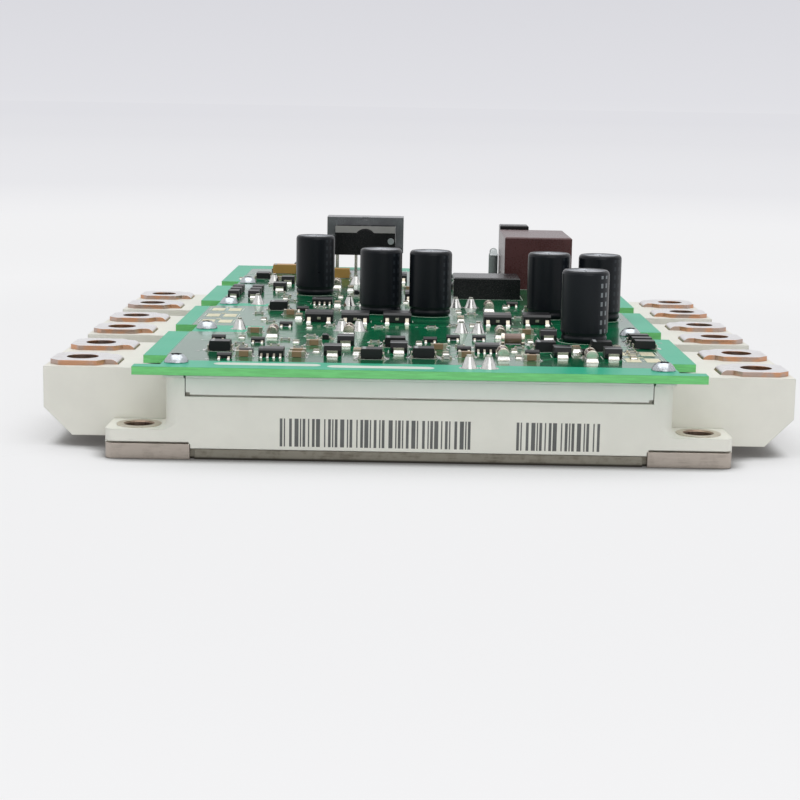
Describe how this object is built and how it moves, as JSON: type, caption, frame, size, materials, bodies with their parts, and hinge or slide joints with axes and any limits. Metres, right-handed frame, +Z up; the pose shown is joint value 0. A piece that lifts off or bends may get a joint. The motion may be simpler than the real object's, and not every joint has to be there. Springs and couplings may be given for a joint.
{
  "type": "igbt driver module",
  "caption": "Flat power semiconductor module on a metal base plate with screw terminals on both sides and a green gate driver board carrying capacitors and small parts.",
  "frame": {"origin": "middle of the underside of the base plate", "axes": "+X across the module to the right seen from the print end, +Y along the module away from the print end, +Z up through the driver board"},
  "size_m": [0.15, 0.2155, 0.0353],
  "materials": {
    "nickel_plate": "satin nickel plating",
    "bush_metal": "turned, satin",
    "housing_plastic": "fine matte moulding",
    "lid_plastic": "fine matte moulding",
    "ceramic_copper": "copper clad ceramic",
    "silicon": "polished chip metal",
    "bond_aluminium": "bright",
    "soft_gel": "clear soft filling",
    "tinned_pin": "tinned",
    "nickel_copper": "nickel over copper, bare copper at the cut edges",
    "zinc_steel": "zinc plated",
    "board_green": "glossy solder mask",
    "screw_steel": "bright",
    "solder": "bright solder",
    "black_sleeve": "shrunk film sleeve",
    "brown_plastic": "satin",
    "black_plastic": "satin",
    "grey_plastic": "matte",
    "clear_lens": "clear",
    "ferrite": "ground ferrite",
    "winding_tape": "taped wire",
    "gold_contact": "plated",
    "chip_epoxy": "moulded, tinned leads",
    "diode_glass": "glass between tinned caps",
    "chip_ceramic": "tinned ends",
    "tan_ceramic": "tinned ends",
    "golden_epoxy": "moulded, tinned ends"
  },
  "bodies": {
    "root": {"base_plate": "nickel_plate", "mounting_bushes": "bush_metal", "housing_frame": "housing_plastic", "terminal_blocks_left": "housing_plastic", "terminal_blocks_right": "housing_plastic", "lid": "lid_plastic", "substrate_1": "ceramic_copper", "substrate_2": "ceramic_copper", "substrate_3": "ceramic_copper", "igbt_chips": "silicon", "diode_chips": "silicon", "bond_ribbons": "bond_aluminium", "thermistor": "chip_ceramic", "gel_filling": "soft_gel", "signal_pins": "tinned_pin", "terminal_left_1": "nickel_copper", "terminal_left_2": "nickel_copper", "terminal_left_3": "nickel_copper", "terminal_left_4": "nickel_copper", "terminal_left_5": "nickel_copper", "terminal_left_6": "nickel_copper", "terminal_right_1": "nickel_copper", "terminal_right_2": "nickel_copper", "terminal_right_3": "nickel_copper", "terminal_right_4": "nickel_copper", "terminal_right_5": "nickel_copper", "terminal_right_6": "nickel_copper", "terminal_nuts": "zinc_steel", "driver_board": "board_green", "board_screws": "screw_steel", "solder_cones": "solder", "capacitor_1": "black_sleeve", "capacitor_2": "black_sleeve", "capacitor_3": "black_sleeve", "capacitor_4": "black_sleeve", "capacitor_5": "black_sleeve", "capacitor_6": "black_sleeve", "film_capacitor": "brown_plastic", "rear_capacitor": "black_plastic", "coupler_block": "black_plastic", "indicator_spacer": "grey_plastic", "indicator_lens": "clear_lens", "core_upper": "ferrite", "core_lower": "ferrite", "core_rod": "ferrite", "transformer_bobbin": "black_plastic", "transformer_winding": "winding_tape", "transformer_pins": "tinned_pin", "signal_header": "black_plastic", "header_contacts": "gold_contact", "driver_ics": "chip_epoxy", "power_transistors": "chip_epoxy", "small_transistors": "chip_epoxy", "moulded_diodes": "chip_epoxy", "glass_diodes": "diode_glass", "gate_resistors": "chip_epoxy", "chip_resistors": "chip_ceramic", "chip_capacitors": "tan_ceramic", "tantalum_capacitors": "golden_epoxy"}
  },
  "joints": []
}
